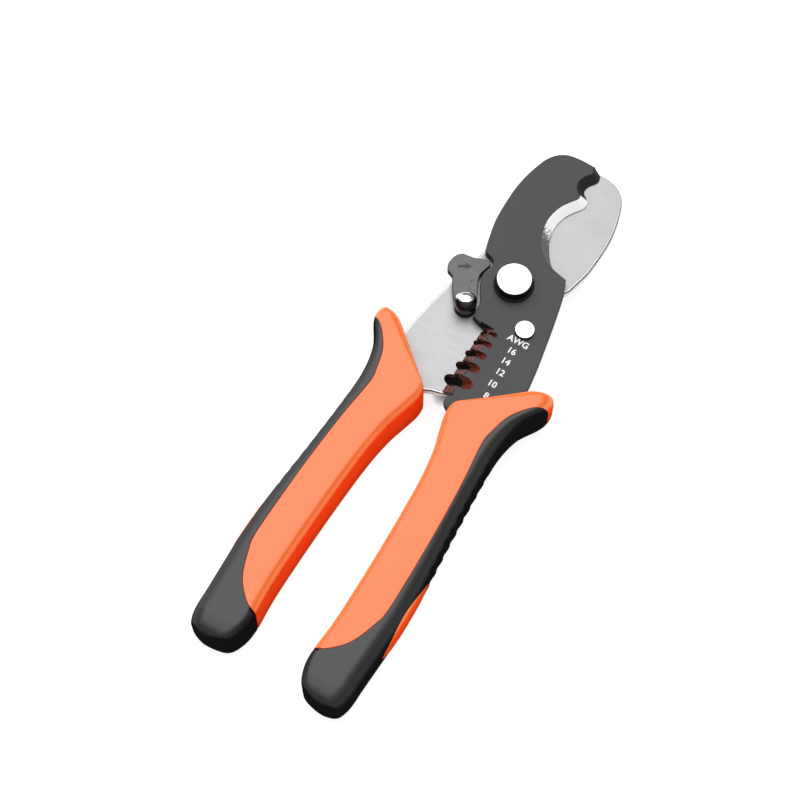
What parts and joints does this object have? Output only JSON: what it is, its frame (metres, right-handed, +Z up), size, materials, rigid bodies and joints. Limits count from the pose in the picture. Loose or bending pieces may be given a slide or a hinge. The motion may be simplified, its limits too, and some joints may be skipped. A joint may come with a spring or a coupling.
{
  "type": "cable cutting and wire stripping pliers",
  "caption": "Hand pliers with bypass cable-cutting jaws, a wire-stripping edge below the pivot, a side lock lever and moulded grips with orange cores and black sleeves.",
  "frame": {"origin": "on the floor plane under the flat backs of the grips, at the middle of the closed tool's outline", "axes": "+Y along the tool towards the jaw tips, +Z up along the pivot axis out of the front plate, +X to the front plate's grip"},
  "size_m": [0.0608, 0.191, 0.0184],
  "materials": {
    "rear_steel": "satin ground steel",
    "front_steel": "satin black oxide, bright ground bevels",
    "polished_steel": "mirror polished",
    "dark_washer": "black oxide",
    "zinc_steel": "zinc plated",
    "spring_steel": "oiled spring wire",
    "lever_steel": "grey phosphated steel",
    "orange_plastic": "satin moulded",
    "black_rubber": "soft satin"
  },
  "bodies": {
    "rear_half": {"rear_blade": "rear_steel", "pivot_bolt": "polished_steel", "front_washer": "dark_washer", "rear_washer": "zinc_steel", "pivot_nut": "zinc_steel", "opening_spring": "spring_steel", "lock_washer": "spring_steel", "lock_rivet": "polished_steel", "left_grip_core": "orange_plastic", "left_grip_sleeve": "black_rubber"},
    "front_half": {"front_blade": "front_steel", "stop_rivet": "polished_steel", "right_grip_core": "orange_plastic", "right_grip_sleeve": "black_rubber"},
    "lock": {"lock_lever": "lever_steel"}
  },
  "joints": [
    {"name": "jaw_pivot", "type": "hinge", "parent": "rear_half", "child": "front_half", "pos_m": [0, 0.0465, 0.0092], "axis": [0, 0, 1], "range_deg": [0, 25], "deforming": ["opening_spring"]},
    {"name": "lock_pivot", "type": "hinge", "parent": "rear_half", "child": "lock", "pos_m": [-0.0093, 0.0333, 0.0092], "axis": [0, 0, 1], "range_deg": [0, 40]}
  ],
  "couplings": [
    {"joint": "lock_pivot", "follows": "jaw_pivot", "ratio": 1.6}
  ]
}
